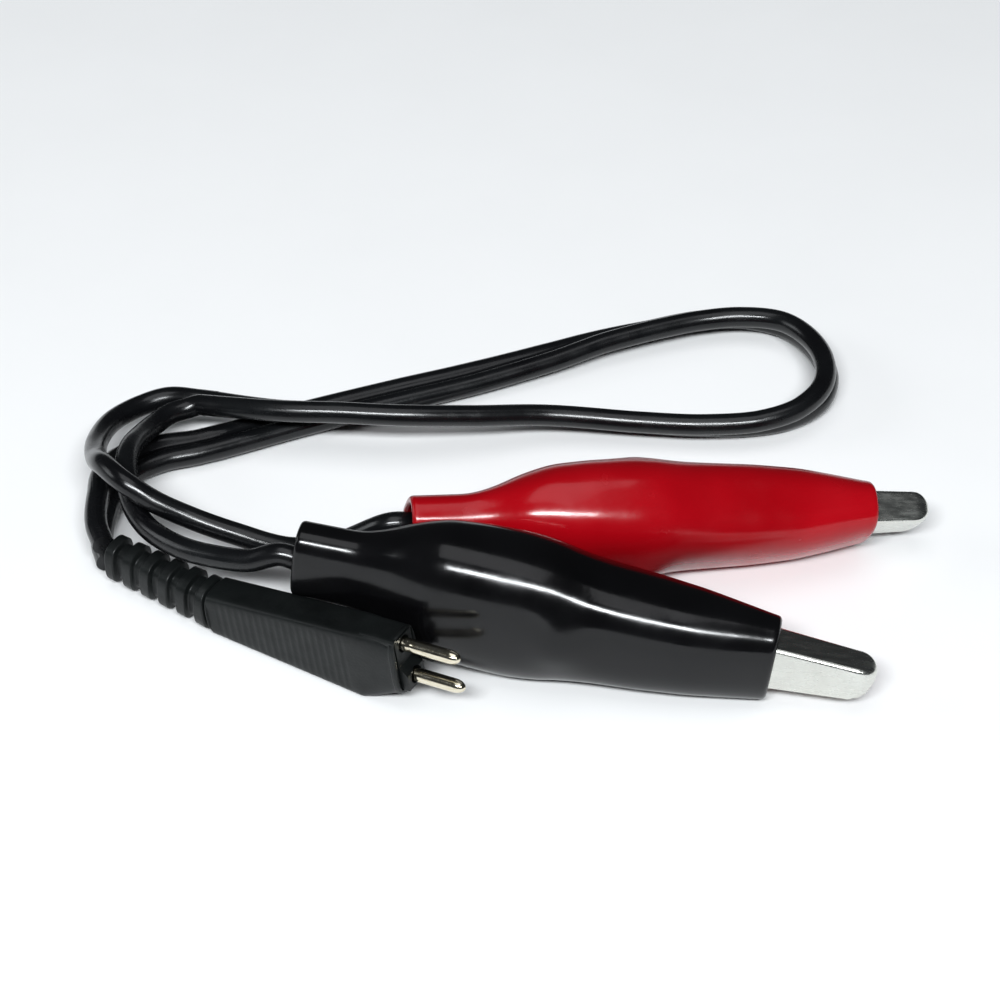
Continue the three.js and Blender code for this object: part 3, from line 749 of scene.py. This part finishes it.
def dippedPvc(name, deep, light, roughness):
    # dipped sleeve: a slow drift of colour, gloss that varies a little, and a faint orange-peel skin
    material, tree, shader = newMaterial(name, deep, roughness, coat=0.15, coatRoughness=0.06, ior=1.46)
    drift = remap(tree, addNoise(tree, 90, 2), 0, 1)
    tree.links.new(mixColours(tree, drift, deep, light), shader.inputs["Base Color"])
    handled = addNoise(tree, 260, 4)
    tree.links.new(remap(tree, handled, roughness - 0.05, roughness + 0.08), shader.inputs["Roughness"])
    peel = (addNoise(tree, 170, 1), 0.35, 0.00025)
    grain = (addNoise(tree, 1500, 2), 0.12, 0.00006)
    addBump(tree, shader, [peel, grain])
    return material


def cordSkin(name):
    # extruded insulation: fine draw lines along the cord, a dusty drift of gloss and a soft skin
    material, tree, shader = newMaterial(name, (0.007, 0.007, 0.008), 0.26, coat=0.2, coatRoughness=0.12)
    drift = remap(tree, addNoise(tree, 140, 3), 0, 1)
    tree.links.new(mixColours(tree, drift, (0.005, 0.005, 0.006), (0.010, 0.011, 0.012)),
                   shader.inputs["Base Color"])
    drawn = addNoise(tree, 3.2, 3, stretch=(1.6, 0.05, 1), useUv=True)
    tree.links.new(remap(tree, addNoise(tree, 420, 4), 0.20, 0.32), shader.inputs["Roughness"])
    addBump(tree, shader, [(drawn, 0.22, 0.00008), (addNoise(tree, 2600, 2), 0.10, 0.00004)])
    return material


def mouldedPvc(name):
    # spark-eroded mould finish: a fine pebble over a slow sink, with the gloss worn on and off
    material, tree, shader = newMaterial(name, (0.008, 0.009, 0.009), 0.42, ior=1.45)
    drift = remap(tree, addNoise(tree, 200, 3), 0, 1)
    tree.links.new(mixColours(tree, drift, (0.005, 0.006, 0.006), (0.010, 0.012, 0.012)),
                   shader.inputs["Base Color"])
    tree.links.new(remap(tree, addNoise(tree, 700, 4), 0.34, 0.48), shader.inputs["Roughness"])
    pebble = (addNoise(tree, 3800, 3), 0.30, 0.00006)
    sink = (addNoise(tree, 260, 1), 0.2, 0.0002)
    addBump(tree, shader, [pebble, sink])
    return material


def platedSteel(name, bright, dull, low, high):
    # nickel plate on rolled sheet: cloudy tarnish, and fine scratches that run along the clip
    material, tree, shader = newMaterial(name, bright, low, metallic=1.0)
    clouds = remap(tree, addNoise(tree, 160, 4), 0, 1)
    tree.links.new(mixColours(tree, clouds, bright, dull), shader.inputs["Base Color"])
    scratches = addNoise(tree, 900, 3, stretch=(0.12, 2.4, 2.4))
    tree.links.new(remap(tree, scratches, low, high), shader.inputs["Roughness"])
    addBump(tree, shader, [(scratches, 0.08, 0.00003), (addNoise(tree, 500, 2), 0.05, 0.00006)])
    return material


def turnedPin(name):
    # bright plated pin: turning marks round it, and wipe marks along it where it has slid in a socket
    material, tree, shader = newMaterial(name, (0.82, 0.78, 0.66), 0.16, metallic=1.0)
    turned = addNoise(tree, 9.0, 2, stretch=(0.1, 1.5, 1), useUv=True)
    wiped = addNoise(tree, 5.0, 3, stretch=(2.0, 0.15, 1), useUv=True)
    tree.links.new(mixColours(tree, remap(tree, wiped, 0, 1), (0.86, 0.83, 0.73), (0.70, 0.62, 0.45)),
                   shader.inputs["Base Color"])
    tree.links.new(remap(tree, turned, 0.10, 0.24), shader.inputs["Roughness"])
    addBump(tree, shader, [(turned, 0.12, 0.00003)])
    return material


def strandedWire(name):
    # bunched strands seen as fine slanting ridges, each a shade of its own
    material, tree, shader = newMaterial(name, (0.62, 0.52, 0.40), 0.34, metallic=1.0)
    strands = addNoise(tree, 1400, 2, stretch=(0.3, 2.0, 2.0))
    tree.links.new(mixColours(tree, remap(tree, strands, 0, 1), (0.66, 0.58, 0.47), (0.48, 0.36, 0.24)),
                   shader.inputs["Base Color"])
    addBump(tree, shader, [(strands, 0.5, 0.0001)])
    return material


def paint(piece, material):
    piece.data.materials.clear()
    piece.data.materials.append(material)


redPvc = dippedPvc("redDippedPvc", (0.30, 0.002, 0.007), (0.37, 0.004, 0.011), 0.2)
blackPvc = dippedPvc("blackDippedPvc", (0.003, 0.003, 0.0034), (0.006, 0.006, 0.0068), 0.17)
cordPvc = cordSkin("cordSkin")
plugPvc = mouldedPvc("plugMouldedPvc")
jawPlate = platedSteel("jawNickelPlate", (0.74, 0.75, 0.71), (0.64, 0.64, 0.60), 0.2, 0.32)
springWire = platedSteel("springDrawnWire", (0.42, 0.42, 0.42), (0.30, 0.29, 0.27), 0.25, 0.45)
wireStrands = strandedWire("bareStrands")
pinPlate = turnedPin("pinPlate")

paint(boots["red"], redPvc)
paint(boots["black"], blackPvc)
for piece in (twin, redLead, blackLead):
    paint(piece, cordPvc)
paint(plugBody, plugPvc)
for pin in (upperPin, lowerPin):
    paint(pin, pinPlate)
for nose in noses.values():
    paint(nose, jawPlate)
for spring in springs.values():
    paint(spring, springWire)

carrierInsert = mouldedPvc("pinCarrierInsert")
cadFinishes = {
    "fixed_jaw": jawPlate,
    "moving_jaw": jawPlate,
    "pivot_rivet": jawPlate,
    "bare_conductor": wireStrands,
}
for colour in ("red", "black"):
    for part, material in cadFinishes.items():
        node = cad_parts[colour + "_" + part]
        for index in range(len(node.material_slots)):
            node.material_slots[index].material = material
for index in range(len(carrierNode.material_slots)):
    carrierNode.material_slots[index].material = carrierInsert
print("finishes on")


studio = {
    "floor": (0.86, 0.86, 0.86),
    "sky": (0.75, 0.8, 0.85),
    "skyStrength": 0.05,
    "middle": (-0.011, 0.010, 0.0),  # where every softbox points
}
# name, place, width and height in metres, watts, colour
softboxes = [
    ("key", (-0.03, -0.46, 0.54), (0.50, 0.09), 5.6, (0.95, 0.98, 1.0)),
    ("overhead", (-0.02, -0.02, 0.70), (0.50, 0.50), 0.9, (0.97, 0.98, 1.0)),
    ("side", (-0.75, 0.05, 0.35), (0.4, 0.3), 0.8, (0.95, 0.98, 1.0)),
]


def addFloor():
    bpy.ops.mesh.primitive_plane_add(size=6, location=(0, 0, -0.00005))
    floor = bpy.context.active_object
    floor.name = "floor"
    material, tree, shader = newMaterial("paleFloor", studio["floor"], 0.75)
    shader.inputs["Specular IOR Level"].default_value = 0.2
    speckle = remap(tree, addNoise(tree, 60, 3), 0, 1)
    pale = studio["floor"]
    dimmer = tuple(c * 0.985 for c in pale)
    tree.links.new(mixColours(tree, speckle, pale, dimmer), shader.inputs["Base Color"])
    floor.data.materials.append(material)


def addSoftbox(name, place, size, power, colour):
    light = bpy.data.lights.new(name, "AREA")
    light.shape = "RECTANGLE"
    light.size, light.size_y = size
    light.energy = power
    light.color = colour
    box = bpy.data.objects.new(name, light)
    away = np.array(place) - np.array(studio["middle"])
    box.location = place
    box.rotation_euler = Vector(away).to_track_quat("Z", "Y").to_euler()
    bpy.context.scene.collection.objects.link(box)


def addSky():
    world = bpy.data.worlds.new("studio")
    world.use_nodes = True
    background = world.node_tree.nodes["Background"]
    background.inputs["Color"].default_value = (*studio["sky"], 1)
    background.inputs["Strength"].default_value = studio["skyStrength"]
    bpy.context.scene.world = world


addFloor()
addSky()
for softbox in softboxes:
    addSoftbox(*softbox)
bpy.context.scene.view_settings.view_transform = "Standard"
bpy.context.scene.view_settings.look = "Medium High Contrast"
print("stage lit")
